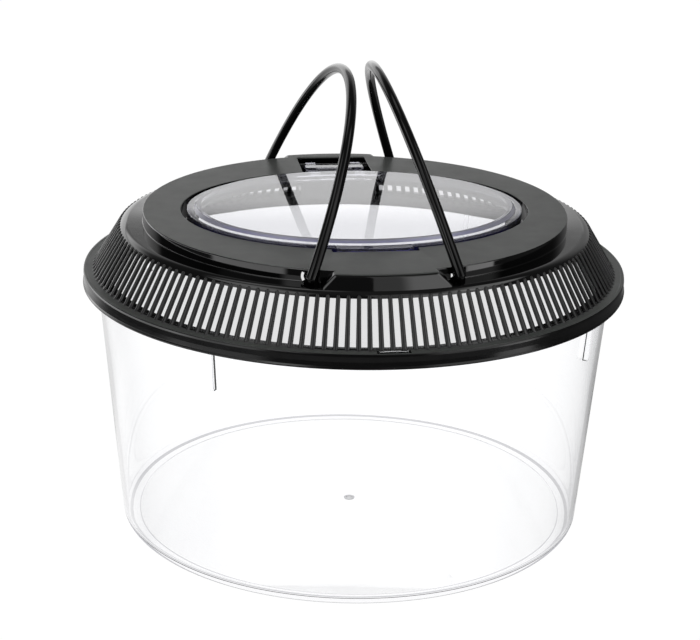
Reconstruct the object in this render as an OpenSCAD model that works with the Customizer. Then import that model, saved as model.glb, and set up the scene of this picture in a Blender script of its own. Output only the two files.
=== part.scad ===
// Round pet keeper: clear tapered tub, vented snap-on lid with a hinged
// oval feeding window and two folding carrying handles.
// Millimetres, +Z up. Origin at the centre of the foot ring, front is -Y.

/* [Tub] */
// Outer radius of the tub wall near the foot
tub_r_bottom = 131.3; // [129:0.1:133]
// Outer radius of the tub wall under the rim
tub_r_top = 142.4; // [141:0.1:142.8]
// Wall and floor thickness of the tub
tub_wall_t = 2.4; // [1.8:0.1:2.8]
// Inner radius of the foot ring the tub stands on
foot_r = 121.7; // [112:0.1:124]
// Height of the rim's top face
rim_z = 144; // [143.4:0.1:144.1]
// Outer radius of the rim
rim_r = 147.2; // [146.4:0.1:147.4]
// Thickness of the four anti-nesting ribs
rib_t = 2.6; // [2:0.1:4]
// Height of the lower end of the ribs
rib_z = 116; // [100:1:128]
// Angle of the first rib from the front
rib_angle = -37.3; // [-44:0.1:-30]
// Width of the two latch tabs
tab_w = 14.6; // [10:0.2:16]

/* [Lid] */
// Outer radius of the lid skirt, lower edge
skirt_r = 150.4; // [149.8:0.1:152]
// Height of the skirt's lower edge
skirt_z = 138.4; // [137.5:0.1:140]
// Height of the flange top
flange_z = 146.3; // [146.1:0.1:146.8]
// Height of the deck that the folded handles lie on
deck_z = 171.3; // [170.8:0.1:171.4]
// Outer radius of the deck
deck_r = 127; // [126.6:0.1:127.4]
// Height of the raised ring's top
ring_z = 177.8; // [177.6:0.1:178.6]
// Outer radius of the raised ring
ring_r = 117; // [116:0.1:117.2]
// General wall thickness of the lid
lid_t = 2.2; // [1.8:0.1:2.3]
// Number of vent slots around the band
vent_n = 160; // [80:4:164]
// Width of one vent slot
vent_w = 3; // [2:0.1:3.2]

/* [Blocks] */
// Half width of the front and rear block at its top
block_top = 26; // [22:0.5:28]
// Half width of the front and rear block at the deck
block_foot = 33.3; // [28:0.1:33.4]
// Outer radius of the block's top edge
block_r = 122.3; // [120:0.1:123.5]

/* [Window] */
// Half length of the oval window, left to right
win_a = 92.9; // [88:0.1:93.4]
// Half width of the oval window, front to back
win_b = 74.8; // [71:0.1:75.2]
// Height of the window's border
win_z = 178.4; // [178:0.1:178.8]
// Rise of the window's inner panel over its border
win_rise = 2; // [0.4:0.1:2]
// Half width of the finger tab
finger_w = 20; // [14:0.5:20.5]
// Diameter of the hinge bar across the rear pocket
hinge_d = 4.8; // [4:0.1:5.2]

/* [Handles] */
// Radius of the handle's bend line
bail_r = 122; // [121.6:0.1:122.2]
// Diameter of the handle rod
rod_d = 5.5; // [4.5:0.1:5.6]
// Distance of the two pivot lines from the centre
pivot_x = 37.5; // [37:0.1:38]
// Height of the pivot lines
pivot_z = 174.5; // [174.4:0.1:174.7]
// Diameter of the pivot pins
pin_d = 3.8; // [3:0.1:3.9]
// Inward lean of the left handle from upright
lean_left = 21.7; // [0:0.1:23]
// Inward lean of the right handle from upright
lean_right = 18.8; // [0:0.1:23]

/* [Hidden] */
$fn = 96;
tub_top_in = tub_r_top - tub_wall_t;
floor_z = 0.9 + tub_wall_t;
seat_a = win_a + 3.2;      // recess around the window
seat_b = win_b + 4.3;
seat_z = 172.4;            // ledge the window rests over
hole_a = win_a - 4.6;      // clear opening inside the ledge
hole_b = win_b - 4.4;
cup_z = 170.4;             // underside of the ledge
hinge_y = 100;             // window hinge axis
hinge_z = 174.5;
pocket_w = 20.5;           // half width of the rear hinge pocket
pocket_y = 111.5;
pocket_z = 163.5;          // floor of the hinge pocket
pin_y = sqrt(bail_r * bail_r - pivot_x * pivot_x);
bore_d = pin_d + 0.12;

// Point list of an ellipse
function oval(a, b, n = 96) = [for (i = [0 : n - 1]) [a * cos(360 * i / n), b * sin(360 * i / n)]];

module oval_block(a, b, z0, z1) translate([0, 0, z0]) linear_extrude(z1 - z0) polygon(oval(a, b));

// ---------------------------------------------------------------- tub
module tub_shell()
    rotate_extrude() polygon([
        [0, 0.9], [foot_r - 0.4, 0.9], [foot_r, 0], [tub_r_bottom - 5.2, 0],
        [tub_r_bottom - 3.4, 0.35], [tub_r_bottom - 1.8, 1.4], [tub_r_bottom - 0.8, 2.9],
        [tub_r_bottom - 0.3, 5], [tub_r_bottom, 8],
        [tub_r_top, 139.6], [rim_r - 0.6, rim_z - 2.4], [rim_r, rim_z - 1.9],
        [rim_r, rim_z - 0.3], [rim_r - 0.3, rim_z], [tub_top_in, rim_z],
        [tub_r_bottom - tub_wall_t, 8.4], [tub_r_bottom - tub_wall_t - 0.5, 6],
        [tub_r_bottom - tub_wall_t - 1.6, 4.4], [tub_r_bottom - tub_wall_t - 3.6, 3.5],
        [tub_r_bottom - tub_wall_t - 5.2, floor_z],
        [0, floor_z]]);

// Radial fin that keeps stacked tubs from jamming
module tub_rib(a)
    rotate([0, 0, a - 90]) translate([0, rib_t / 2, 0]) rotate([90, 0, 0]) linear_extrude(rib_t)
        polygon([[tub_r_top - 3.2, rib_z], [tub_r_top + 0.2, rib_z], [tub_r_top + 0.9, rib_z + 0.8],
                 [tub_r_top + 2.6, rim_z - 2.6], [tub_r_top + 2.6, rim_z - 1.4], [tub_r_top - 1.2, rim_z - 1.4]]);

// Tab that stands up through the lid's flange
module tub_tab()
    translate([-tab_w / 2, -rim_r + 0.1, rim_z - 1]) {
        cube([tab_w, 2, flange_z - rim_z + 1.3]);
        translate([0, 0.6, 0]) cube([tab_w, 2.4, 1]);
    }

module tub_gate() translate([0, 0, 0.4]) cylinder(r = 3.2, h = 1.5);

module tub() color([0.9, 0.93, 0.96, 0.45]) {
    union() {
        tub_shell();
        for (k = [0 : 3]) tub_rib(rib_angle + 90 * k);
        for (s = [0, 180]) rotate([0, 0, s]) tub_tab();
        tub_gate();
    }
}

// ---------------------------------------------------------------- lid
module lid_body()
    rotate_extrude() polygon([
        [0, skirt_z], [skirt_r, skirt_z], [skirt_r - 0.3, flange_z - 0.6], [skirt_r - 0.9, flange_z],
        [144, flange_z], [143.39, 147], [130.24, 168.5], [129.3, 169.7],
        [128.1, 170.6], [deck_r - 0.3, deck_z - 0.2], [deck_r - 1.7, deck_z],
        [ring_r, deck_z], [ring_r, ring_z - 0.5], [ring_r - 0.5, ring_z], [0, ring_z]]);

// Everything under the lid's skin
module lid_hollow()
    rotate_extrude() polygon([
        [0, 120], [skirt_r - 2.2, 120], [skirt_r - 2.2, flange_z - 2], [138.8, flange_z - 2],
        [138.8, 139.5], [136.8, 139.5], [136.8, flange_z - 1], [141.6, flange_z - 0.8],
        [128.3, 167.2], [127.2, 168], [deck_r - 2, deck_z - lid_t], [ring_r - lid_t, deck_z - lid_t],
        [ring_r - lid_t, ring_z - lid_t], [0, ring_z - lid_t]]);

// Raised block that joins the ring to the deck's edge, at the front
module block_shape(grow, top)
    intersection() {
        rotate_extrude() polygon([[100, deck_z - 3], [deck_r + 1.9 - 2 * grow, deck_z - 3],
            [deck_r + 0.2 - 1.4 * grow, deck_z], [block_r - grow, top], [100, top]]);
        translate([0, -90, 0]) rotate([90, 0, 0]) linear_extrude(50)
            polygon([[-block_foot + grow, deck_z - 3], [block_foot - grow, deck_z - 3],
                     [block_foot - grow, deck_z], [block_top - grow * 0.8, top],
                     [-block_top + grow * 0.8, top], [-block_foot + grow, deck_z]]);
    }

module blocks(grow, top) for (s = [0, 180]) rotate([0, 0, s]) block_shape(grow, top);

// Vent slots: radial cuts that run up over the band's shoulder
module vent_slots()
    for (i = [0 : vent_n - 1]) rotate([0, 0, (i + 0.5) * 360 / vent_n])
        translate([deck_r - 2, -vent_w / 2, 147.1]) cube([26, vent_w, 21.1]);

// Cup that holds the window, with its finger notch
module seat_cup() {
    oval_block(seat_a + 2, seat_b + 2, cup_z, ring_z - 0.4);
    translate([-24.6, -84.5, cup_z]) cube([49.2, 20, ring_z - 0.4 - cup_z]);
}

module seat_cut() {
    oval_block(seat_a, seat_b, seat_z, ring_z + 5);
    oval_block(hole_a, hole_b, 160, ring_z + 5);
    translate([-22.4, -82.3, seat_z]) cube([44.8, 20, 20]);
}

// Rear pocket that the window's hinge works in
module pocket_walls() translate([-pocket_w - 2, hole_b + 1, pocket_z - 2])
    cube([2 * pocket_w + 4, pocket_y + 2 - hole_b - 1, ring_z - pocket_z + 1.6]);

module pocket_cut() {
    translate([-pocket_w, seat_b, pocket_z]) cube([2 * pocket_w, pocket_y - seat_b, 30]);
    translate([-pocket_w, hole_b + 3, seat_z]) cube([2 * pocket_w, pocket_y - hole_b - 3, 30]);
}

module hinge_bar() translate([-pocket_w - 1, hinge_y, hinge_z]) rotate([0, 90, 0])
    cylinder(d = hinge_d, h = 2 * pocket_w + 2);

// Boss inside the ring wall for one handle pin, and the cuts that belong to it
module pivot_boss() translate([pivot_x - 5, 104.5, deck_z - 1]) cube([10, 7, ring_z - deck_z + 0.6]);

module pivot_cut() {
    translate([pivot_x - 4.2, 109, deck_z]) cube([8.1, 12, 176.7 - deck_z]);
    translate([pivot_x, 125, pivot_z]) rotate([90, 0, 0]) cylinder(d = bore_d, h = 24);
}

// Curved opening beside each pin, through the pocket's back wall
module pivot_gaps() for (s = [0, 180], x = [-pivot_x, pivot_x]) rotate([0, 0, s])
    translate([x, -103.6, pivot_z]) rotate([90, 0, 0]) intersection() {
        difference() { cylinder(r = 4.4, h = 8); translate([0, 0, -1]) cylinder(r = 3.1, h = 10); }
        translate([-6, -3, 0]) cube([5, 7, 8]);
    }

module four_ways() for (m = [0, 1], n = [0, 1]) mirror([m, 0, 0]) mirror([0, n, 0]) children();

// Slots in the flange that the tub's tabs come up through
module tab_slots() for (s = [0, 180]) rotate([0, 0, s])
    translate([-tab_w / 2 - 0.9, -rim_r - 0.6, 140]) cube([tab_w + 1.8, 3.7, 8]);

module lid() color([0.07, 0.07, 0.08]) {
    difference() {
        union() {
            difference() {
                union() { lid_body(); blocks(0, ring_z); }
                difference() {
                    union() { lid_hollow(); blocks(2.2, ring_z - lid_t); }
                    seat_cup();
                    pocket_walls();
                    four_ways() pivot_boss();
                }
            }
        }
        seat_cut();
        pocket_cut();
        four_ways() pivot_cut();
        pivot_gaps();
        tab_slots();
        vent_slots();
    }
    hinge_bar();
}

// ---------------------------------------------------------------- window
module window_plate()
    difference() {
        union() {
            oval_block(win_a, win_b, win_z - 5.6, win_z);
            oval_block(win_a - 5.2, win_b - 5.1, win_z - 2, win_z + win_rise);
        }
        oval_block(win_a - 1.9, win_b - 1.9, win_z - 8, win_z - 2);
        oval_block(win_a - 7.2, win_b - 7.1, win_z - 8, win_z + win_rise - 2);
    }

module finger_tab() difference() {
    intersection() {
        oval_block(win_a + 5, win_b + 5.1, win_z - 1.8, win_z);
        translate([-finger_w, -win_b - 10, 160]) cube([2 * finger_w, 30, 30]);
    }
    oval_block(win_a - 0.5, win_b - 0.5, 160, 190);
}

// Arm with a clip, open at its top, that hooks round the hinge bar
module hinge_arm() difference() {
    union() {
        translate([10.6, win_b - 2.4, hinge_z - 1.1]) cube([6, hinge_y - win_b + 0.4, 1.8]);
        translate([10.6, hinge_y, hinge_z]) rotate([0, 90, 0]) cylinder(r = hinge_d / 2 + 1.1, h = 6);
    }
    translate([9, hinge_y, hinge_z]) rotate([0, 90, 0]) cylinder(r = hinge_d / 2 + 0.06, h = 9);
    translate([9, hinge_y - 1.3, hinge_z]) cube([9, 2.6, 8]);
}

// Flat leaf in front of the hinge bar, carried by the arms
module hinge_leaf() translate([-17.4, hinge_y - 9.2, hinge_z + 0.6]) cube([34.8, 6, 1.8]);

module window() color([0.82, 0.84, 0.95, 0.55]) union() {
    window_plate();
    finger_tab();
    hinge_leaf();
    for (m = [0, 1]) mirror([m, 0, 0]) hinge_arm();
}

// ---------------------------------------------------------------- handles
// Handle that pivots on the left line, drawn folded flat and turned up by t
module bail(t) translate([-pivot_x, 0, pivot_z]) rotate([0, t, 0]) translate([pivot_x, 0, 0]) {
    a = acos(pivot_x / bail_r);
    union() {
        rotate([0, 0, 180 - a]) rotate_extrude(angle = 2 * a) translate([bail_r, 0]) circle(d = rod_d);
        for (m = [0, 1]) mirror([0, m, 0]) {
            translate([-pivot_x, pin_y + 2.6, 0]) rotate([90, 0, 0]) cylinder(d = rod_d + 0.3, h = 5.4);
            translate([-pivot_x, pin_y, 0]) rotate([90, 0, 0]) cylinder(d = pin_d, h = pin_y - 104.9);
        }
    }
}

module handle_left() color([0.09, 0.09, 0.1]) bail(90 + lean_left);
module handle_right() color([0.11, 0.11, 0.12]) mirror([1, 0, 0]) bail(90 + lean_right);

tub();
lid();
window();
handle_left();
handle_right();
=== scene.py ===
import math

import bmesh
import bpy
from mathutils import Matrix, Vector


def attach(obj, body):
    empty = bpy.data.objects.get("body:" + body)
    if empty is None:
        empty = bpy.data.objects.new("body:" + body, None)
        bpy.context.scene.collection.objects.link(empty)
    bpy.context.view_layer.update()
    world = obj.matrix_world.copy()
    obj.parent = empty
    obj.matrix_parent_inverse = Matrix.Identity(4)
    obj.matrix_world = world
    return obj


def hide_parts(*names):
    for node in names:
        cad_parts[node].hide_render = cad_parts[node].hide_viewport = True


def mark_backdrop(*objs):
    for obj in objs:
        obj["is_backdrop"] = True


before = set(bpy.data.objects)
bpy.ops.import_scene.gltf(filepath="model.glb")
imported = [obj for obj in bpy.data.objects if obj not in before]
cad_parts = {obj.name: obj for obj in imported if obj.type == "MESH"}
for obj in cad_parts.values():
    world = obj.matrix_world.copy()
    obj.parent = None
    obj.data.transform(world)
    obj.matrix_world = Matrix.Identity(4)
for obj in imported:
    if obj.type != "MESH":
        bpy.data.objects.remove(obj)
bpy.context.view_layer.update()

MM = 0.001

# ------------------------------------------------------------------ sizes, mm, as in the CAD
RING_Z, RING_R = 177.8, 117.0
SKIRT_Z = 138.4
DECK_Z, DECK_R = 171.3, 127.0
VENT_N, VENT_W = 160, 3.0
WIN_A, WIN_B, WIN_Z = 92.9, 74.8, 178.4
SEAT_A, SEAT_B, SEAT_Z = 96.1, 79.1, 172.4
HOLE_A, HOLE_B = 88.3, 70.4
BAIL_R, ROD_D, PIVOT_X, PIVOT_Z, PIN_D = 122.0, 5.5, 37.5, 174.5, 3.8
LEAN_L, LEAN_R = 21.7, 18.8
PIN_Y = math.sqrt(BAIL_R**2 - PIVOT_X**2)


# ------------------------------------------------------------------ mesh tools
def build(name, verts, faces, fix=True):
    me = bpy.data.meshes.new(name)
    me.from_pydata([(x * MM, y * MM, z * MM) for x, y, z in verts], [], faces)
    me.update()
    ob = bpy.data.objects.new(name, me)
    bpy.context.scene.collection.objects.link(ob)
    if fix:
        bm = bmesh.new()
        bm.from_mesh(me)
        bmesh.ops.recalc_face_normals(bm, faces=bm.faces)
        bm.to_mesh(me)
        bm.free()
    return ob


def rounded(pts, seg=3):
    """Closed profile with each corner given as (x, z, radius) turned into an arc."""
    out, n = [], len(pts)
    for i, p in enumerate(pts):
        rad = p[2] if len(p) > 2 else 0
        c = Vector((p[0], p[1]))
        if rad <= 0:
            out.append((c.x, c.y))
            continue
        a, b = Vector(pts[i - 1][:2]), Vector(pts[(i + 1) % n][:2])
        va, vb = (a - c), (b - c)
        la, lb = va.length, vb.length
        va.normalize()
        vb.normalize()
        ang = va.angle(vb)
        d = min(rad / math.tan(ang / 2), 0.48 * la, 0.48 * lb)
        rad = d * math.tan(ang / 2)
        mid = c + (va + vb).normalized() * (rad / math.sin(ang / 2))
        s, e = c + va * d - mid, c + vb * d - mid
        for k in range(seg + 1):
            t = k / seg
            w = s.angle(e)
            v = (s * math.sin((1 - t) * w) + e * math.sin(t * w)) / math.sin(w)
            out.append((mid.x + v.x, mid.y + v.y))
    return out


def ring_mesh(name, prof, place, n, closed=True):
    """Sweeps a profile round: place(p, i) gives the point of profile point p at step i. A p of None-like centre is one vertex."""
    verts, rows = [], []
    for p in prof:
        if p[0] == "c" or (not isinstance(p[0], str) and abs(p[0]) < 1e-6 and place is _turn):
            rows.append([len(verts)])
            verts.append((0.0, 0.0, p[1]))
        else:
            rows.append(list(range(len(verts), len(verts) + n)))
            verts += [place(p, i, n) for i in range(n)]
    faces = []
    m = len(rows)
    for k in range(m if closed else m - 1):
        a, b = rows[k], rows[(k + 1) % m]
        if len(a) == 1 and len(b) == 1:
            continue
        for i in range(n):
            j = (i + 1) % n
            if len(a) == 1:
                faces.append((a[0], b[i], b[j]))
            elif len(b) == 1:
                faces.append((a[i], b[0], a[j]))
            else:
                faces.append((a[i], b[i], b[j], a[j]))
    return build(name, verts, faces)


def _turn(p, i, n):
    t = 2 * math.pi * i / n
    return (p[0] * math.sin(t), -p[0] * math.cos(t), p[1])


def revolve(name, prof, n=320, closed=True):
    return ring_mesh(name, prof, _turn, n, closed)


def oval(name, prof, a, b, n=224, closed=True):
    def place(p, i, n):
        t = 2 * math.pi * i / n
        return ((a + p[0]) * math.sin(t), -(b + p[0]) * math.cos(t), p[1])

    return ring_mesh(name, prof, place, n, closed)


def box_mesh(name, lo, hi, bevel=0.0, seg=2, vertical_only=False):
    x0, y0, z0 = lo
    x1, y1, z1 = hi
    v = [(x, y, z) for z in (z0, z1) for y in (y0, y1) for x in (x0, x1)]
    f = [(0, 1, 3, 2), (4, 6, 7, 5), (0, 4, 5, 1), (1, 5, 7, 3), (3, 7, 6, 2), (2, 6, 4, 0)]
    ob = build(name, v, f)
    if bevel:
        bm = bmesh.new()
        bm.from_mesh(ob.data)
        es = [e for e in bm.edges if not vertical_only or abs(e.verts[0].co.z - e.verts[1].co.z) > 1e-6]
        bmesh.ops.bevel(bm, geom=es, offset=bevel * MM, segments=seg, profile=0.5, affect="EDGES")
        bm.to_mesh(ob.data)
        bm.free()
    return ob


def tube_mesh(name, path, section, frames=None, caps=True):
    """Closed sweep: path is a list of (centre, side axis, up axis, side scale, up scale); section a list of (u, v)."""
    verts, faces, m = [], [], len(section)
    for c, su, sv, ku, kv in path:
        for u, v in section:
            p = c + su * (u * ku) + sv * (v * kv)
            verts.append((p.x, p.y, p.z))
    for k in range(len(path) - 1):
        for i in range(m):
            j = (i + 1) % m
            faces.append((k * m + i, k * m + j, (k + 1) * m + j, (k + 1) * m + i))
    if caps:
        faces.append(tuple(range(m - 1, -1, -1)))
        faces.append(tuple((len(path) - 1) * m + i for i in range(m)))
    return verts, faces


def join_data(name, parts):
    verts, faces = [], []
    for v, f in parts:
        o = len(verts)
        verts += v
        faces += [tuple(i + o for i in q) for q in f]
    return build(name, verts, faces)


def cylinder(p0, p1, r, n=24, round_end=(0.0, 0.0), seg=3):
    """Verts and faces of a closed cylinder from p0 to p1, with rounded rims."""
    p0, p1 = Vector(p0), Vector(p1)
    ax = (p1 - p0).normalized()
    su = ax.orthogonal().normalized()
    sv = ax.cross(su)
    length = (p1 - p0).length
    r0, r1 = round_end
    arc = [(1 - math.sin(math.pi / 2 * k / seg), 1 - math.cos(math.pi / 2 * k / seg)) for k in range(seg + 1)]
    st = sorted((r0 * p, r - r0 * q) for p, q in arc) if r0 else [(0.0, r)]
    en = sorted((length - r1 * p, r - r1 * q) for p, q in arc) if r1 else [(length, r)]
    path = [(p0 + ax * d, su, sv, q, q) for d, q in st + en]
    sec = [(math.cos(2 * math.pi * i / n), math.sin(2 * math.pi * i / n)) for i in range(n)]
    return tube_mesh("c", path, sec)


def boolean(ob, cutter, op="DIFFERENCE"):
    m = ob.modifiers.new("b", "BOOLEAN")
    m.operation, m.solver, m.object = op, "MANIFOLD", cutter
    bpy.context.view_layer.update()
    dg = bpy.context.evaluated_depsgraph_get()
    me = bpy.data.meshes.new_from_object(ob.evaluated_get(dg))
    ob.modifiers.clear()
    ob.data = me
    bpy.data.objects.remove(cutter)
    return ob


def polish(ob, sharp=32.0, merge=0.002, weighted=True):
    """Welds, drops slivers, marks sharp edges, and gives area-weighted normals."""
    bm = bmesh.new()
    bm.from_mesh(ob.data)
    bmesh.ops.remove_doubles(bm, verts=bm.verts, dist=merge * MM)
    bmesh.ops.dissolve_degenerate(bm, dist=merge * MM, edges=bm.edges)
    lim = math.radians(sharp)
    for f in bm.faces:
        f.smooth = True
    for e in bm.edges:
        e.smooth = not (len(e.link_faces) == 2 and e.calc_face_angle(0.0) > lim)
    bm.to_mesh(ob.data)
    bm.free()
    if weighted:
        w = ob.modifiers.new("normals", "WEIGHTED_NORMAL")
        w.keep_sharp = True
        w.weight = 80
    return ob


def dress(ob, mats, pick=None):
    ob.data.materials.clear()
    for m in mats:
        ob.data.materials.append(m)
    if pick:
        for p in ob.data.polygons:
            p.material_index = pick(p.center / MM, p.normal)
    return ob


def ship(ob, body, node):
    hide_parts(node)
    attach(ob, body)
    return ob


# ------------------------------------------------------------------ materials
def new_mat(name):
    m = bpy.data.materials.new(name)
    m.use_nodes = True
    nt = m.node_tree
    nt.nodes.clear()
    out = nt.nodes.new("ShaderNodeOutputMaterial")
    bsdf = nt.nodes.new("ShaderNodeBsdfPrincipled")
    nt.links.new(bsdf.outputs[0], out.inputs["Surface"])
    tc = nt.nodes.new("ShaderNodeTexCoord")
    return m, nt, bsdf, tc, out


def noise(nt, tc, scale, detail=3.0, rough=0.55, stretch=None):
    src = tc.outputs["Object"]
    if stretch:
        mp = nt.nodes.new("ShaderNodeMapping")
        mp.inputs["Scale"].default_value = stretch
        nt.links.new(src, mp.inputs["Vector"])
        src = mp.outputs[0]
    n = nt.nodes.new("ShaderNodeTexNoise")
    n.inputs["Scale"].default_value = scale
    n.inputs["Detail"].default_value = detail
    n.inputs["Roughness"].default_value = rough
    nt.links.new(src, n.inputs["Vector"])
    return n.outputs["Fac"]


def ranged(nt, fac, lo, hi, f0=0.3, f1=0.7):
    r = nt.nodes.new("ShaderNodeMapRange")
    r.inputs["From Min"].default_value = f0
    r.inputs["From Max"].default_value = f1
    r.inputs["To Min"].default_value = lo
    r.inputs["To Max"].default_value = hi
    nt.links.new(fac, r.inputs["Value"])
    return r.outputs["Result"]


def two_tone(nt, fac, a, b, f0=0.35, f1=0.65):
    c = nt.nodes.new("ShaderNodeValToRGB")
    c.color_ramp.elements[0].position = f0
    c.color_ramp.elements[0].color = (*a, 1)
    c.color_ramp.elements[1].position = f1
    c.color_ramp.elements[1].color = (*b, 1)
    nt.links.new(fac, c.inputs["Fac"])
    return c.outputs["Color"]


def bump(nt, height, dist, strength=1.0, after=None):
    b = nt.nodes.new("ShaderNodeBump")
    b.inputs["Distance"].default_value = dist
    b.inputs["Strength"].default_value = strength
    nt.links.new(height, b.inputs["Height"])
    if after is not None:
        nt.links.new(after, b.inputs["Normal"])
    return b.outputs["Normal"]


def black_plastic(name, dark, light, rough, grain_scale, grain_dist, spec=0.5, wave=0.0):
    m, nt, bsdf, tc, out = new_mat(name)
    nt.links.new(two_tone(nt, noise(nt, tc, 38.0, 4.0), dark, light), bsdf.inputs["Base Color"])
    nt.links.new(ranged(nt, noise(nt, tc, 90.0, 5.0, 0.6), *rough), bsdf.inputs["Roughness"])
    bsdf.inputs["IOR"].default_value = 1.5
    bsdf.inputs["Specular IOR Level"].default_value = spec
    nrm = bump(nt, noise(nt, tc, grain_scale, 2.0, 0.5), grain_dist)
    if wave:
        nrm = bump(nt, noise(nt, tc, 22.0, 1.0), wave, 1.0, nrm)
    nt.links.new(nrm, bsdf.inputs["Normal"])
    return m


def clear_plastic(name, tint, rough, ior, absorb, density, wave):
    m, nt, bsdf, tc, out = new_mat(name)
    lighter = tuple(min(1.0, c * 1.006) for c in tint)
    nt.links.new(two_tone(nt, noise(nt, tc, 14.0, 2.0), tint, lighter), bsdf.inputs["Base Color"])
    nt.links.new(ranged(nt, noise(nt, tc, 60.0, 4.0), *rough), bsdf.inputs["Roughness"])
    bsdf.inputs["IOR"].default_value = ior
    bsdf.inputs["Transmission Weight"].default_value = 1.0
    nt.links.new(bump(nt, noise(nt, tc, 16.0, 1.0), wave), bsdf.inputs["Normal"])
    if density:
        va = nt.nodes.new("ShaderNodeVolumeAbsorption")
        va.inputs["Color"].default_value = (*absorb, 1)
        va.inputs["Density"].default_value = density
        nt.links.new(va.outputs[0], out.inputs["Volume"])
    return m


SATIN = black_plastic("black_satin", (0.056, 0.0595, 0.0565), (0.065, 0.0686, 0.0655), (0.36, 0.42), 2600.0, 0.000006, 0.18)
BAR = black_plastic("black_bar", (0.0035, 0.0035, 0.0037), (0.0058, 0.0058, 0.006), (0.26, 0.32), 1800.0, 0.000005)
SKIRT = black_plastic("black_skirt", (0.0018, 0.0018, 0.0019), (0.003, 0.003, 0.0032), (0.15, 0.2), 1800.0, 0.000003)
GLOSS = black_plastic("black_gloss", (0.0009, 0.0009, 0.00095), (0.0016, 0.0016, 0.0017), (0.03, 0.07), 700.0, 0.0000015, wave=0.00003)
ROD = black_plastic("black_rod", (0.0012, 0.0012, 0.0012), (0.002, 0.002, 0.0021), (0.07, 0.13), 900.0, 0.000002, wave=0.00002)
CLEAR_TUB = clear_plastic("clear_tub", (0.992, 0.994, 0.996), (0.0, 0.015), 1.5, (0.62, 0.6, 0.86), 5.0, 0.000012)
CLEAR_WIN = clear_plastic("clear_window", (0.92, 0.925, 0.93), (0.0, 0.015), 1.5, (0.5, 0.46, 0.86), 26.0, 0.000008)
# painted shade: the window's outer edge and the sides of its border step get dark grey tints and less transmission,
# standing in for the dark bands that refraction makes there
WIN_EDGE_PAINTED_SHADE = clear_plastic("clear_window_edge_painted_shade", (0.05, 0.05, 0.055), (0.08, 0.16), 1.5, (0.5, 0.46, 0.86), 26.0, 0.000008)
WIN_STEP_PAINTED_SHADE = clear_plastic("clear_window_step_painted_shade", (0.36, 0.36, 0.42), (0.16, 0.26), 1.5, (0.5, 0.46, 0.86), 26.0, 0.000008)
CLEAR_BASE = clear_plastic("clear_tub_base", (0.985, 0.985, 0.99), (0.0, 0.015), 1.03, (0.62, 0.6, 0.86), 5.0, 0.000012)
# painted shade: the tub's foot ring, outer bottom rim and gate mark get grey tints that stand in for the dark lines
# refraction draws there
TUB_FOOT_PAINTED_SHADE = clear_plastic("clear_tub_foot_painted_shade", (0.45, 0.45, 0.47), (0.0, 0.015), 1.03, (0.62, 0.6, 0.86), 5.0, 0.000012)
TUB_RIM_PAINTED_SHADE = clear_plastic("clear_tub_rim_painted_shade", (0.36, 0.36, 0.38), (0.0, 0.015), 1.03, (0.62, 0.6, 0.86), 5.0, 0.000012)
TUB_GATE_PAINTED_SHADE = clear_plastic("clear_tub_gate_painted_shade", (0.3, 0.3, 0.31), (0.02, 0.06), 1.5, (0.62, 0.6, 0.86), 5.0, 0.000012)
for part, share in ((WIN_EDGE_PAINTED_SHADE, 0.6), (WIN_STEP_PAINTED_SHADE, 0.3)):
    part.node_tree.nodes["Principled BSDF"].inputs["Transmission Weight"].default_value = share
for part, ior in ((ROD, 1.3), (SKIRT, 1.38)):
    part.node_tree.nodes["Principled BSDF"].inputs["IOR"].default_value = ior


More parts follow.
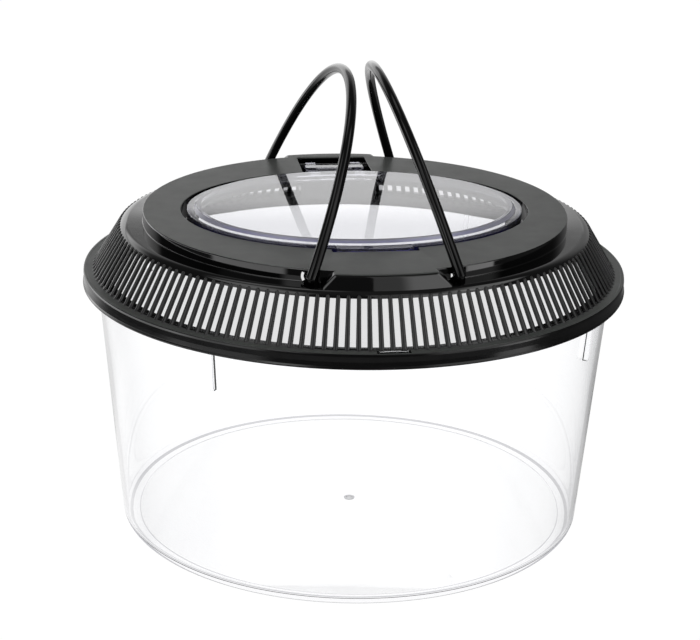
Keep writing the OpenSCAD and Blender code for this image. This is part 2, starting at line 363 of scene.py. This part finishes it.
# ------------------------------------------------------------------ tub
def make_tub():
    corner = [(126.07 + 5.0 * math.cos(t), 5.0 + 5.0 * math.sin(t)) for t in (math.radians(-90 + 85.25 * k / 9) for k in range(10))]
    prof = rounded([(0.0, 0.9), (121.3, 0.9, 0.2), (121.75, 0.0, 0.25)] + corner + [
        (131.5, 10.0), (134.9, 51.0), (138.3, 92.0), (141.9, 134.0), (142.4, 139.6, 0.4), (146.6, 141.6, 0.3), (147.2, 142.3, 0.3),
        (147.2, 144.0, 0.45), (140.0, 144.0, 0.5), (139.5, 134.2), (135.9, 92.2), (132.5, 51.0), (129.1, 10.4),
        (128.55, 3.3, 3.6), (0.0, 3.3)], 5)
    tub = revolve("tub_shell", prof, 320)
    for k in range(4):
        a = math.radians(-37.3 + 90 * k)
        d, s = Vector((math.sin(a), -math.cos(a), 0)), Vector((math.cos(a), math.sin(a), 0))
        sec = rounded([(140.0, 115.9), (142.7, 115.9, 0.5), (143.3, 117.2, 0.6), (144.9, 141.2), (144.9, 142.3), (140.0, 142.3)])
        n = len(sec)
        offs = [(-1.3, 0.25), (-1.05, 0.0), (1.05, 0.0), (1.3, 0.25)]
        verts = []
        for off, shrink in offs:
            for r, z in sec:
                rr = min(r, 144.9 - shrink if z > 130 else 143.3 - shrink + (z - 117.2) * 0.0667 if r > 142 else r)
                p = d * rr + s * off
                verts.append((p.x, p.y, z + (shrink if z < 118 else 0)))
        faces = [tuple(range(n)), tuple(range(4 * n - 1, 3 * n - 1, -1))]
        for q in range(3):
            for i in range(n):
                j = (i + 1) % n
                faces.append((q * n + i, q * n + j, (q + 1) * n + j, (q + 1) * n + i))
        boolean(tub, build("rib", verts, faces), "UNION")
    for s in (1, -1):
        y0, y1 = sorted((-147.1 * s, -145.1 * s))
        tab = box_mesh("tab", (-7.3, y0, 143.2), (7.3, y1, 146.6), 0.35, 2)
        boolean(tub, tab, "UNION")
    gate = revolve("gate", rounded([(0.0, 0.62), (1.5, 0.62, 0.12), (2.1, 0.42, 0.12), (2.9, 0.42, 0.2), (3.1, 0.75, 0.1), (3.1, 2.0), (0.0, 2.0)]), 48)
    boolean(tub, gate, "UNION")
    polish(tub, 34.0)

    # faces of the gate, foot ring and bottom rim take the grey-tinted clear materials: painted shade for the refraction
    # lines
    def pick(c, n):
        r = math.hypot(c.x, c.y)
        if n.z > 0.02 or c.z > 4.95:
            return 0
        if r < 3.3:
            return 3
        if 121.0 < r < 122.2 and n.z > -0.9:
            return 4
        if r > 126.3 and c.z < 0.9:
            return 2
        return 1 if r > 121.0 else 0

    dress(tub, [CLEAR_TUB, CLEAR_BASE, TUB_RIM_PAINTED_SHADE, TUB_GATE_PAINTED_SHADE, TUB_FOOT_PAINTED_SHADE], pick)
    return ship(tub, "tub", "tub")


# ------------------------------------------------------------------ lid
def make_flange():
    prof = rounded([
        (148.3, SKIRT_Z, 0.2), (150.38, SKIRT_Z, 0.4), (150.3, 139.1, 0.4), (149.93, 139.9, 0.6), (149.86, 142.2, 2.0),
        (149.9, 144.9, 0.4), (149.75, 146.28, 0.6), (148.3, 146.36, 0.3), (147.9, 146.22, 0.15), (144.1, 146.28, 0.12), (143.42, 147.0, 0.1),
        (141.6, 145.5), (136.8, 145.3), (136.8, 139.5, 0.3), (138.8, 139.5, 0.3), (138.8, 144.35), (147.9, 144.35, 0.3)])
    ob = revolve("lid_flange", prof, 360)
    for s in (1, -1):
        y0, y1 = sorted((-144.35 * s, -148.4 * s))
        boolean(ob, box_mesh("cut", (-8.4, y0, 140.0), (8.4, y1, 149.0), 0.4, 2, True))
    polish(ob, 34.0)

    def pick(c, n):
        return 0 if n.z > 0.75 and c.z > 145.5 else 1

    dress(ob, [SATIN, SKIRT], pick)
    return ship(ob, "lid", "lid")


BAR_RISE = 0.75


def make_bars():
    """Vent bars: low ridges that follow the cone, cross the shoulder and end in a dome."""
    def cone(z):
        return 142.9 - 0.6117 * (z - 147.8)

    # radius, height, rise of the crown, width factor, depth
    raw = [(145.3, 146.12, 0.05, 0.5, 0.3), (144.85, 146.25, 0.2, 0.72, 0.5), (144.3, 146.42, 0.36, 0.86, 0.7), (143.8, 146.78, 0.52, 0.94, 0.9),
           (cone(147.4), 147.4, 0.66, 1.0, 0.8), (cone(150.5), 150.5, BAR_RISE, 1.0, 0.85), (cone(156), 156.0, BAR_RISE, 1.0, 0.85),
           (cone(162), 162.0, BAR_RISE, 1.0, 0.85), (cone(166.4), 166.4, BAR_RISE, 1.0, 0.85), (cone(168.1), 168.1, BAR_RISE, 1.04, 1.1)]
    for far in (0.4, 0.8, 1.15, 1.42, 1.58, 1.66):
        t = math.radians(31.45) + (far - 0.23) / 5.85
        w = math.sqrt(max(0.0, 1 - (far / 1.68) ** 2))
        raw.append((125.245 + 5.85 * math.cos(t), 165.45 + 5.85 * math.sin(t), BAR_RISE * w ** 0.8 + 0.01, max(0.1, 1.04 * w ** 0.75), 0.9))
    parts = []
    for i in range(VENT_N):
        a = math.radians(i * 360.0 / VENT_N)
        d, side = Vector((math.sin(a), -math.cos(a), 0)), Vector((math.cos(a), math.sin(a), 0))
        verts, faces, rows = [], [], []
        m = len(raw)
        for k, (r, z, rise, wide, depth) in enumerate(raw):
            p0, p1 = raw[max(0, k - 1)], raw[min(m - 1, k + 1)]
            t = Vector((p1[0] - p0[0], p1[1] - p0[1])).normalized()
            nr, nz = t.y, -t.x
            half = (2 * math.pi * max(r, 129.5) / VENT_N - VENT_W) / 2 * wide
            pts = [(-half, -depth), (-half, -0.16), (-half * 0.9, rise * 0.42), (-half * 0.64, rise * 0.84), (-half * 0.25, rise),
                   (half * 0.25, rise), (half * 0.64, rise * 0.84), (half * 0.9, rise * 0.42), (half, -0.16), (half, -depth)]
            row = []
            for u, v in pts:
                q = d * (r + nr * v) + side * u
                row.append(len(verts))
                verts.append((q.x, q.y, z + nz * v))
            rows.append(row)
        n = len(rows[0])
        for k in range(m - 1):
            for j in range(n):
                jj = (j + 1) % n
                faces.append((rows[k][j], rows[k][jj], rows[k + 1][jj], rows[k + 1][j]))
        faces.append(tuple(reversed(rows[0])))
        faces.append(tuple(rows[-1]))
        parts.append((verts, faces))
    ob = join_data("lid_bars", parts)
    polish(ob, 50.0, merge=0.0005)
    dress(ob, [BAR])
    return ship(ob, "lid", "lid")


def block(name, sign, grow=0.0):
    """Raised block that joins the ring to the deck's rim. sign -1 front, 1 rear."""
    nu, nv = 28, 6
    z0, z1 = 168.5, RING_Z
    verts, idx = [], {}

    def radius(z):
        return 122.3 + (RING_Z - z) * (6.5 / 9.3)

    def half(z):
        return 26.0 + (RING_Z - max(z, DECK_Z)) * (7.3 / 6.5)

    for j in range(nv + 1):
        z = z0 + (z1 - z0) * j / nv
        for i in range(nu + 1):
            u = -1 + 2 * i / nu
            x = u * half(z)
            y = math.sqrt(radius(z) ** 2 - x * x)
            idx[("f", i, j)] = len(verts)
            verts.append((x, y, z))
            idx[("b", i, j)] = len(verts)
            verts.append((x, 104.0, z))
    faces = []
    for j in range(nv):
        for i in range(nu):
            for s in "fb":
                faces.append(tuple(idx[(s, *k)] for k in ((i, j), (i + 1, j), (i + 1, j + 1), (i, j + 1))))
        for i in (0, nu):
            faces.append((idx[("f", i, j)], idx[("b", i, j)], idx[("b", i, j + 1)], idx[("f", i, j + 1)]))
    for i in range(nu):
        for j in (0, nv):
            faces.append((idx[("f", i, j)], idx[("f", i + 1, j)], idx[("b", i + 1, j)], idx[("b", i, j)]))
    if sign < 0:
        verts = [(x, -y, z) for x, y, z in verts]
    ob = build(name, verts, faces)
    bm = bmesh.new()
    bm.from_mesh(ob.data)
    bw = bm.edges.layers.float.new("bevel_weight_edge")
    es = []
    for e in bm.edges:
        a, b = (v.co / MM for v in e.verts)
        if len(e.link_faces) != 2 or e.calc_face_angle(0) < math.radians(20):
            continue
        if abs(a.y) < 104.1 and abs(b.y) < 104.1:
            continue
        if a.z < z0 + 0.01 and b.z < z0 + 0.01:
            continue
        es.append(e)
    slant, rest = [], []
    for e in es:
        a, b = (v.co / MM for v in e.verts)
        (slant if abs(a.z - b.z) > 0.5 else rest).append(e)
    for e in slant:
        e[bw] = 1.0
    for e in rest:
        e[bw] = 0.42
    bmesh.ops.bevel(bm, geom=es, offset=1.3 * MM, segments=4, profile=0.5, affect="EDGES", clamp_overlap=True, offset_type="OFFSET")
    bm.to_mesh(ob.data)
    bm.free()
    return ob


def pivot_gap(px, my):
    """Curved opening beside a handle pin, sloping down through the pocket's back wall."""
    n = 12
    a0 = 150 if px * my > 0 else 190
    arc = [math.radians(a0 + (216 - a0) * k / n) for k in range(n + 1)]
    ring = [(4.5 * math.cos(t), 4.5 * math.sin(t)) for t in arc] + [(3.15 * math.cos(t), 3.15 * math.sin(t)) for t in reversed(arc)]
    verts = []
    for d in (-1.6, 7.0):
        for u, w in ring:
            verts.append(((px * -my) + u + 0.1405 * d, -110.5 + d, PIVOT_Z + w - 0.305 * d))
    if my > 0:
        verts = [(-x, -y, z) for x, y, z in verts]
    m = len(ring)
    faces = [tuple(range(m)), tuple(range(2 * m - 1, m - 1, -1))]
    for i in range(m):
        j = (i + 1) % m
        faces.append((i, j, m + j, m + i))
    return build("gap", verts, faces)


def make_ring():
    shoulder = [(125.245 + 5.85 * math.cos(t), 165.45 + 5.85 * math.sin(t)) for t in (math.radians(90 - 58.55 * k / 12) for k in range(13))]
    prof = rounded([
        (60.0, RING_Z), (RING_R, RING_Z, 0.6), (RING_R, DECK_Z, 0.45)] + shoulder + [
        (130.42, 168.2), (127.4, 168.5), (125.0, 169.1), (114.8, 169.1), (114.8, 175.6), (60.0, 175.6)])
    ob = revolve("lid_ring", prof, 400)
    for s in (-1, 1):
        boolean(ob, block("blk", s), "UNION")
    # seat cup that holds the window, and its front pocket for the finger tab
    cup = oval("cup", [(2.0, 170.4), (2.0, 177.0), (-9.0, 177.0), (-9.0, 170.4)], SEAT_A, SEAT_B)
    boolean(ob, cup, "UNION")
    boolean(ob, box_mesh("cupf", (-24.6, -84.5, 170.4), (24.6, -66.0, 177.0)), "UNION")
    boolean(ob, box_mesh("pw", (-22.5, 71.4, 161.5), (22.5, 113.5, 177.0), 0.6, 2, True), "UNION")
    for mx in (1, -1):
        for my in (1, -1):
            x0, x1 = sorted((32.5 * mx, 42.5 * mx))
            y0, y1 = sorted((104.5 * my, 108.9 * my))
            boolean(ob, box_mesh("boss", (x0, y0, 170.3), (x1, y1, 177.0)), "UNION")
    # cuts, flared at the top so that each rim is rounded
    z = RING_Z
    flare = [(0.0, SEAT_Z), (0.0, z - 0.7), (0.06, z - 0.42), (0.2, z - 0.2), (0.42, z - 0.06), (0.7, z + 0.001), (0.9, z + 4), ("c", z + 4), ("c", SEAT_Z)]
    boolean(ob, oval("s1", flare, SEAT_A, SEAT_B))
    boolean(ob, oval("s2", [(0.0, 160.0), (0.0, 172.0), (0.3, 172.41), (0.3, 190.0), ("c", 190.0), ("c", 160.0)], HOLE_A, HOLE_B))
    notch = []
    for dz, g in ((SEAT_Z, 0.0), (z - 0.7, 0.0), (z - 0.42, 0.06), (z - 0.2, 0.2), (z - 0.06, 0.42), (z + 0.001, 0.7), (z + 4, 0.9)):
        notch.append((dz, g))
    boolean(ob, prism_stack("nt", rounded_rect(-22.4, -82.3, 22.4, -64.0, 1.2), notch))
    pk = [(163.5, 0.0)] + [(d, g) for d, g in notch[1:]]
    boolean(ob, prism_stack("pk", rounded_rect(-20.5, 74.8, 20.5, 111.5, 0.8), pk))
    for mx in (1, -1):
        for my in (1, -1):
            x0, x1 = sorted((33.3 * mx, 41.4 * mx))
            y0, y1 = sorted((109.0 * my, 121.0 * my))
            boolean(ob, box_mesh("rc", (x0, y0, DECK_Z + 0.02), (x1, y1, 176.7), 0.7, 3))
            c = build("bo", *cylinder((PIVOT_X * mx, 100 * my, PIVOT_Z), (PIVOT_X * mx, 125 * my, PIVOT_Z), 1.96, 32))
            boolean(ob, c)
            boolean(ob, pivot_gap(PIVOT_X * mx, my))
    polish(ob, 30.0)

    def pick(c, n):
        if n.z > 0.75 and c.z > RING_Z - 0.35:
            return 0
        return 1

    dress(ob, [SATIN, GLOSS], pick)
    return ship(ob, "lid", "lid")


def rounded_rect(x0, y0, x1, y1, r, seg=4):
    pts = rounded([(x0, y0, r), (x1, y0, r), (x1, y1, r), (x0, y1, r)], seg)
    return pts


def prism_stack(name, outline, levels):
    """Closed solid: the outline at each (z, grow), grown outward from its centre lines."""
    n = len(outline)
    cx = sum(p[0] for p in outline) / n
    cy = sum(p[1] for p in outline) / n
    hx = max(p[0] for p in outline) - cx
    hy = max(p[1] for p in outline) - cy
    verts = []
    for z, g in levels:
        for x, y in outline:
            verts.append((cx + (x - cx) * (hx + g) / hx, cy + (y - cy) * (hy + g) / hy, z))
    faces = [tuple(range(n)), tuple(range(len(verts) - 1, len(verts) - n - 1, -1))]
    for k in range(len(levels) - 1):
        for i in range(n):
            j = (i + 1) % n
            faces.append((k * n + i, k * n + j, (k + 1) * n + j, (k + 1) * n + i))
    return build(name, verts, faces)


def make_hinge_bar():
    ob = build("lid_hinge_bar", *cylinder((-21.4, 100, 174.5), (21.4, 100, 174.5), 2.4, 40))
    polish(ob, 40.0)
    dress(ob, [ROD])
    return ship(ob, "lid", "lid")


# ------------------------------------------------------------------ window
def make_window():
    z = WIN_Z
    prof = rounded([
        (0.0, 172.8, 0.3), (0.0, z, 0.45), (-3.7, z, 0.25), (-5.3, z + 2.0, 0.4), (-20.0, z + 2.0)]) + [("c", z + 2.0), ("c", z + 0.1)] + rounded([
        (-20.0, z + 0.1), (-7.2, z + 0.1, 0.3), (-7.2, 176.5, 0.3), (-1.9, 176.5, 0.3), (-1.9, 172.8, 0.3)])[0:]
    ob = oval("window_panel", prof, WIN_A, WIN_B)
    # finger tab
    n = 24
    verts, faces = [], []
    lv = [(176.6, 0.35), (176.95, 0.0), (z - 0.4, 0.0), (z - 0.12, 0.12), (z, 0.4)]
    for zz, g in lv:
        row = []
        for i in range(n + 1):
            x = -20.0 + g + (40.0 - 2 * g) * i / n
            row.append((x, -(WIN_B + 5.1 - g) * math.sqrt(1 - (x / (WIN_A + 5)) ** 2), zz))
        for i in range(n, -1, -1):
            x = -20.0 + g + (40.0 - 2 * g) * i / n
            row.append((x, -(WIN_B - 1.0) * math.sqrt(1 - (x / (WIN_A - 1.0)) ** 2), zz))
        verts += row
    m = 2 * (n + 1)
    faces = [tuple(range(m)), tuple(range(len(verts) - 1, len(verts) - m - 1, -1))]
    for k in range(len(lv) - 1):
        for i in range(m):
            j = (i + 1) % m
            faces.append((k * m + i, k * m + j, (k + 1) * m + j, (k + 1) * m + i))
    boolean(ob, build("ft", verts, faces), "UNION")
    # hinge leaf, arms and the clips that hook round the bar from below
    boolean(ob, box_mesh("leaf", (-17.4, 90.8, 175.1), (17.4, 97.3, 176.9), 0.3, 3), "UNION")
    for s in (-1, 1):
        x0, x1 = sorted((10.6 * s, 16.6 * s))
        boolean(ob, box_mesh("arm", (x0, 71.5, 173.4), (x1, 97.6, 175.25), 0.25, 2), "UNION")
        boolean(ob, build("cl", *cylinder((x0, 100, 174.5), (x1, 100, 174.5), 3.5, 40, (0.3, 0.3))), "UNION")
        boolean(ob, box_mesh("ct", (x0 - 1, 95.0, 176.92), (x1 + 1, 105.0, 181.0)))
    boolean(ob, build("cb", *cylinder((-19, 100, 174.5), (19, 100, 174.5), 2.46, 48)))
    for s in (-1, 1):
        x0, x1 = sorted((10.6 * s, 16.6 * s))
        boolean(ob, box_mesh("cs", (x0 - 1, 98.7, 174.6), (x1 + 1, 101.3, 182.0)))
    polish(ob, 32.0)

    # outer edge faces and border step faces take the grey-tinted clear materials: painted shade for the refraction
    # bands
    def pick(c, n):
        edge = math.hypot(c.x / WIN_A, c.y / WIN_B) > 0.997 and c.y < 72.0
        if edge and abs(n.z) < 0.5 and c.z < z - 0.15:
            return 1
        step = abs(n.z) < 0.85 and z + 0.2 < c.z < z + 1.75 and c.y < 72.0
        return 2 if step else 0

    dress(ob, [CLEAR_WIN, WIN_EDGE_PAINTED_SHADE, WIN_STEP_PAINTED_SHADE], pick)
    return ship(ob, "window", "window")


# ------------------------------------------------------------------ handles
def make_handle(name, side, lean):
    """side -1: pivots on the left line and leans right; 1: the mirror."""
    a = math.acos(PIVOT_X / BAIL_R)
    steps = 120
    sec_n = 28
    sec = [(math.cos(2 * math.pi * i / sec_n), math.sin(2 * math.pi * i / sec_n)) for i in range(sec_n)]
    path = []
    tip = 1.3 / BAIL_R
    ends = [(0.0, 1.7), (0.12, 2.1), (0.4, 2.42), (0.8, 2.62), (1.3, ROD_D / 2)]
    turns = [(-a - tip + d / BAIL_R, r) for d, r in ends]
    turns += [(-a + 2 * a * k / steps, ROD_D / 2) for k in range(1, steps)]
    turns += [(-t, r) for t, r in reversed(turns[:len(ends)])]
    for t, r in turns:
        rad = Vector((-math.cos(t), -math.sin(t), 0.0))
        c = rad * BAIL_R
        path.append((c, rad, Vector((0, 0, 1.0)), r, r))
    parts = [tube_mesh("h", path, sec)]
    for s in (1, -1):
        parts.append(cylinder((-PIVOT_X, (PIN_Y - 2.9) * s, 0), (-PIVOT_X, (PIN_Y + 1.6) * s, 0), 2.2, 36, (0.3, 0.9)))
        parts.append(cylinder((-PIVOT_X, 104.95 * s, 0), (-PIVOT_X, PIN_Y * s, 0), PIN_D / 2, 28, (0.3, 0.0)))
    base = None
    for v, f in parts:
        ob = build(name, v, f)
        base = ob if base is None else boolean(base, ob, "UNION")
    base.name = name
    turn = Matrix.Translation(Vector((-PIVOT_X, 0, PIVOT_Z)) * MM) @ Matrix.Rotation(math.radians(90 + lean), 4, "Y") @ Matrix.Translation(Vector((PIVOT_X, 0, 0)) * MM)
    base.data.transform(turn)
    if side > 0:
        base.data.transform(Matrix.Scale(-1, 4, Vector((1, 0, 0))))
        base.data.flip_normals()
    polish(base, 36.0)
    dress(base, [ROD])
    node = "handle_left" if side < 0 else "handle_right"
    return ship(base, node, node)


make_tub()
make_flange()
make_bars()
make_ring()
make_hinge_bar()
make_window()
make_handle("bail_left", -1, LEAN_L)
make_handle("bail_right", 1, LEAN_R)


# ------------------------------------------------------------------ floor, light, camera
def seen_level(nt, full_within=0.0):
    """Level of the white behind the object: a little lower for what is seen through one clear wall only,
    but not on the floor inside the given radius."""
    lp = nt.nodes.new("ShaderNodeLightPath")

    def op(kind, a, b):
        n = nt.nodes.new("ShaderNodeMath")
        n.operation = kind
        for i, v in enumerate((a, b)):
            if isinstance(v, (int, float)):
                n.inputs[i].default_value = v
            else:
                nt.links.new(v, n.inputs[i])
        return n.outputs[0]

    depth = lp.outputs["Transmission Depth"]
    one_wall = op("MULTIPLY", op("GREATER_THAN", depth, 0.5), op("LESS_THAN", depth, 2.5))
    many = op("GREATER_THAN", depth, 2.5)
    if full_within:
        place = nt.nodes.new("ShaderNodeNewGeometry")
        size = nt.nodes.new("ShaderNodeVectorMath")
        size.operation = "LENGTH"
        nt.links.new(place.outputs["Position"], size.inputs[0])
        one_wall = op("MULTIPLY", one_wall, op("GREATER_THAN", size.outputs["Value"], full_within))
    return op("ADD", op("SUBTRACT", 1.0, op("MULTIPLY", one_wall, 0.26)), op("MULTIPLY", many, 0.12))


def make_floor():
    n, r = 96, 9000.0
    verts = [(r * math.cos(2 * math.pi * i / n), r * math.sin(2 * math.pi * i / n), -0.02) for i in range(n)]
    ob = build("studio_floor", verts, [tuple(range(n))])
    m = bpy.data.materials.new("studio_floor")
    m.use_nodes = True
    nt = m.node_tree
    nt.nodes.clear()
    out = nt.nodes.new("ShaderNodeOutputMaterial")
    em = nt.nodes.new("ShaderNodeEmission")
    nt.links.new(seen_level(nt, 0.134), em.inputs["Strength"])
    di = nt.nodes.new("ShaderNodeBsdfDiffuse")
    di.inputs["Color"].default_value = (0.02, 0.02, 0.02, 1)
    ad = nt.nodes.new("ShaderNodeAddShader")
    nt.links.new(em.outputs[0], ad.inputs[0])
    nt.links.new(di.outputs[0], ad.inputs[1])
    nt.links.new(ad.outputs[0], out.inputs["Surface"])
    ob.data.materials.append(m)
    ob.visible_glossy = False
    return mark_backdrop(ob)


make_floor()


def make_world():
    """White all round for what is seen directly or through clear plastic; softboxes in a darker room for what gloss reflects."""
    w = bpy.data.worlds.new("studio")
    bpy.context.scene.world = w
    w.use_nodes = True
    nt = w.node_tree
    nt.nodes.clear()
    out = nt.nodes.new("ShaderNodeOutputWorld")
    tc = nt.nodes.new("ShaderNodeTexCoord")
    sep = nt.nodes.new("ShaderNodeSeparateXYZ")
    nt.links.new(tc.outputs["Generated"], sep.inputs[0])

    def math_node(op, a, b=None):
        n = nt.nodes.new("ShaderNodeMath")
        n.operation = op
        for i, v in enumerate((a, b)):
            if v is None:
                continue
            if isinstance(v, (int, float)):
                n.inputs[i].default_value = v
            else:
                nt.links.new(v, n.inputs[i])
        return n.outputs[0]

    def step(v, lo, hi):
        r = nt.nodes.new("ShaderNodeMapRange")
        r.interpolation_type = "SMOOTHSTEP"
        r.inputs["From Min"].default_value = lo
        r.inputs["From Max"].default_value = hi
        nt.links.new(v, r.inputs["Value"])
        return r.outputs["Result"]

    x, y, z = sep.outputs[0], sep.outputs[1], sep.outputs[2]
    az = math_node("MULTIPLY", math_node("ARCTAN2", x, y), 57.29578)
    el = math_node("MULTIPLY", math_node("ARCSINE", z), 57.29578)

    def patch(mid, half, e0, e1, level, soft, elo, ehi, lean=0.0):
        """Softbox at azimuth mid +- half, from elevation e0 to e1; lean turns its azimuth with height."""
        at = math_node("SUBTRACT", az, mid)
        if lean:
            at = math_node("SUBTRACT", at, math_node("MULTIPLY", el, lean))
        d = math_node("ABSOLUTE", math_node("SUBTRACT", math_node("FLOORED_MODULO", math_node("ADD", at, 180.0), 360.0), 180.0))
        m = math_node("SUBTRACT", 1.0, step(d, half - soft, half + soft))
        e = math_node("MULTIPLY", step(el, e0 - elo, e0 + elo), math_node("SUBTRACT", 1.0, step(el, e1 - ehi, e1 + ehi)))
        return math_node("MULTIPLY", math_node("MULTIPLY", m, e), level)

    total = math_node("MULTIPLY", step(z, 0.8, 1.0), 0.12)
    total = math_node("ADD", total, 0.1)
    for args in SOFTBOXES:
        total = math_node("ADD", total, patch(*args))
    studio = nt.nodes.new("ShaderNodeBackground")
    nt.links.new(total, studio.inputs["Strength"])
    white = nt.nodes.new("ShaderNodeBackground")
    lp = nt.nodes.new("ShaderNodeLightPath")
    # the sky seen directly is as bright as the floor, so that no horizon shows
    nt.links.new(math_node("ADD", seen_level(nt), math_node("MULTIPLY", lp.outputs["Is Camera Ray"], 0.25)), white.inputs["Strength"])
    through = math_node("MULTIPLY", lp.outputs["Is Glossy Ray"], math_node("GREATER_THAN", lp.outputs["Transmission Depth"], 0.5))
    seen = math_node("MAXIMUM", math_node("MAXIMUM", lp.outputs["Is Camera Ray"], lp.outputs["Is Transmission Ray"]), through)
    mix = nt.nodes.new("ShaderNodeMixShader")
    nt.links.new(seen, mix.inputs[0])
    nt.links.new(studio.outputs[0], mix.inputs[1])
    nt.links.new(white.outputs[0], mix.inputs[2])
    nt.links.new(mix.outputs[0], out.inputs["Surface"])


# azimuth from the rear clockwise seen from above (90 right, 180 front, 270 left): middle, half width, elevation from, to,
# level, softness in azimuth, softness of the lower and of the upper edge, lean
SOFTBOXES = [
    (118.0, 8.5, -18.4, -6.0, 3.6, 1.0, 0.3, 3.0),            # right strip, low
    (131.0, 24.0, -10.0, 56.0, 1.75, 5.0, 4.0, 5.0),          # front right panel
    (150.0, 25.5, 30.0, 74.0, 0.85, 0.6, 8.0, 2.0),           # its raised part, with a hard edge towards the front
    (216.0, 9.0, 4.0, 38.0, 3.4, 3.0, 4.0, 6.0),              # left strip, front
    (240.0, 24.0, 22.0, 54.0, 1.6, 4.0, 6.0, 10.0),           # left panel
    (246.0, 22.0, -17.2, 4.0, 2.5, 2.0, 0.3, 4.0),            # left panel, low
    (293.0, 34.0, -13.0, 6.0, 3.6, 8.0, 2.5, 4.0),            # left rear strip
    (334.0, 16.0, 17.0, 27.0, 1.6, 5.0, 3.0, 6.0),            # rear left panel
    (340.0, 22.0, 54.0, 68.0, 1.4, 8.0, 4.0, 4.0),
    (92.0, 28.0, 45.0, 62.0, 2.4, 6.0, 3.0, 6.0),             # overhead right
    (262.0, 38.0, 52.0, 70.0, 2.2, 10.0, 3.0, 6.0),           # overhead left
    (5.0, 40.0, -4.0, 30.0, 0.45, 12.0, 8.0, 10.0),           # rear wall
    (348.0, 28.0, -3.0, 15.95, 1.3, 8.0, 3.0, 0.5),          # white paper behind, up to a clear upper edge
    (350.0, 30.0, -70.0, -3.0, 0.85, 12.0, 8.0, 3.0),         # table behind
    (180.0, 180.0, -90.0, -23.5, 0.3, 0.1, 1.5, 1.0),         # table
    (180.0, 72.0, -90.0, -24.0, 0.8, 14.0, 2.0, 1.0),         # table in front
]
make_world()


def make_camera():
    f, dist, height = 1845.55, 985.32, 455.97
    pitch, roll, yaw, turn = math.radians(19.264), 0.0200413, -0.0016, math.radians(8.0)
    fw = Vector((math.sin(yaw) * math.cos(pitch), math.cos(yaw) * math.cos(pitch), -math.sin(pitch)))
    rt = Vector((math.cos(yaw), -math.sin(yaw), 0.0))
    up = rt.cross(fw)
    r2 = rt * math.cos(roll) + up * math.sin(roll)
    u2 = up * math.cos(roll) - rt * math.sin(roll)
    spin = Matrix.Rotation(-turn, 3, "Z")
    loc = spin @ Vector((0.0, -dist, height)) * MM
    r2, u2, fw = spin @ r2, spin @ u2, spin @ fw
    cam = bpy.data.cameras.new("camera")
    cam.sensor_width = 36.0
    cam.sensor_fit = "HORIZONTAL"
    cam.lens = f / 700.0 * 36.0
    cam.clip_start, cam.clip_end = 0.01, 50.0
    ob = bpy.data.objects.new("camera", cam)
    bpy.context.scene.collection.objects.link(ob)
    m = Matrix((r2, u2, -fw)).transposed().to_4x4()
    m.translation = loc
    ob.matrix_world = m
    bpy.context.scene.camera = ob


make_camera()
bpy.context.scene.view_settings.view_transform = "Standard"
bpy.context.scene.view_settings.look = "None"
bpy.context.scene.cycles.max_bounces = 24
bpy.context.scene.cycles.transmission_bounces = 20
bpy.context.scene.cycles.glossy_bounces = 12
